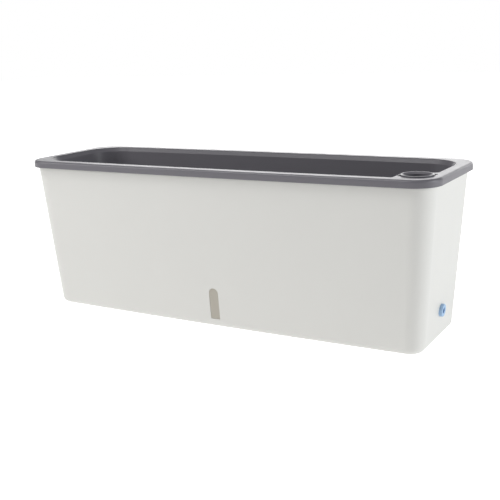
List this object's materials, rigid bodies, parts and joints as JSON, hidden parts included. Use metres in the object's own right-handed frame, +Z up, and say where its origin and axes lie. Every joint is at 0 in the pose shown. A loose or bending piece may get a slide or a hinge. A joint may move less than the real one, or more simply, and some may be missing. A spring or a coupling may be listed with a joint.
{
  "type": "self watering planter",
  "caption": "Long tapered planter box: an outer shell holds the water, a hanging liner holds the soil, with a filling port, a level window and a drain plug.",
  "frame": {"origin": "on the ground, under the middle of the box", "axes": "+Z up, +X along the box towards the end with the drain plug, -Y towards the front with the level window"},
  "size_m": [0.6, 0.188, 0.2154],
  "materials": {
    "shell_white": "satin gloss",
    "liner_grey": "satin",
    "collar_grey": "satin",
    "basket_grey": "matte",
    "window_clear": "translucent",
    "seal": "matte",
    "plug_blue": "satin"
  },
  "bodies": {
    "shell": {"outer_shell": "shell_white", "window_seal": "seal", "window_lens": "window_clear"},
    "liner": {"inner_liner": "liner_grey"},
    "collar": {"fill_collar": "collar_grey"},
    "plug": {"drain_plug": "plug_blue"},
    "basket_1": {"wick_basket_1": "basket_grey"},
    "basket_2": {"wick_basket_2": "basket_grey"},
    "basket_3": {"wick_basket_3": "basket_grey"},
    "basket_4": {"wick_basket_4": "basket_grey"}
  },
  "joints": [
    {"name": "liner_lift", "type": "slide", "parent": "shell", "child": "liner", "axis": [0, 0, 1], "range_m": [0, 0.22]},
    {"name": "collar_pull", "type": "slide", "parent": "liner", "child": "collar", "axis": [0, 0, 1], "range_m": [0, 0.06]},
    {"name": "drain_plug_pull", "type": "slide", "parent": "shell", "child": "plug", "axis": [0.9976, 0, -0.0698], "range_m": [0, 0.025]},
    {"name": "basket_1_lift", "type": "slide", "parent": "liner", "child": "basket_1", "axis": [0, 0, 1], "range_m": [0, 0.215]},
    {"name": "basket_2_lift", "type": "slide", "parent": "liner", "child": "basket_2", "axis": [0, 0, 1], "range_m": [0, 0.215]},
    {"name": "basket_3_lift", "type": "slide", "parent": "liner", "child": "basket_3", "axis": [0, 0, 1], "range_m": [0, 0.215]},
    {"name": "basket_4_lift", "type": "slide", "parent": "liner", "child": "basket_4", "axis": [0, 0, 1], "range_m": [0, 0.215]}
  ]
}
